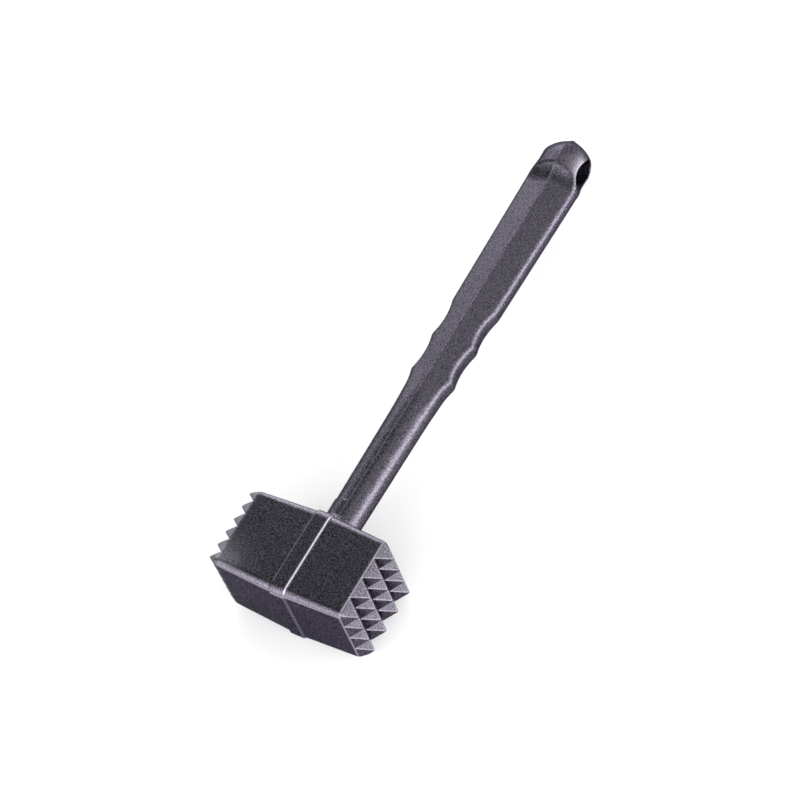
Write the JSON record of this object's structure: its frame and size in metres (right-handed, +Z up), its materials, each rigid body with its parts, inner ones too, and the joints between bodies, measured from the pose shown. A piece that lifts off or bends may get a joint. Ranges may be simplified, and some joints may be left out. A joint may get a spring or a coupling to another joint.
{
  "type": "meat mallet",
  "caption": "Meat mallet with a square head, small teeth on one striking face and large teeth on the other, and a finger-waved handle with a hanging hole.",
  "frame": {"origin": "middle of the flat underside of the band round the head, with the mallet lying on the side of its head", "axes": "+Y along the handle, away from the head; +X out through the face with the large teeth; +Z up"},
  "size_m": [0.0782, 0.2796, 0.0461],
  "materials": {
    "coated_casting": "die-cast aluminium with a dark violet-grey speckled coating, satin",
    "steel_dowel": "ground steel, bare"
  },
  "bodies": {
    "root": {"coarse_side_casting": "coated_casting", "fine_side_casting": "coated_casting", "head_dowel_1": "steel_dowel", "head_dowel_2": "steel_dowel", "head_dowel_3": "steel_dowel", "head_dowel_4": "steel_dowel", "handle_dowel_1": "steel_dowel", "handle_dowel_2": "steel_dowel", "handle_dowel_3": "steel_dowel"}
  },
  "joints": []
}
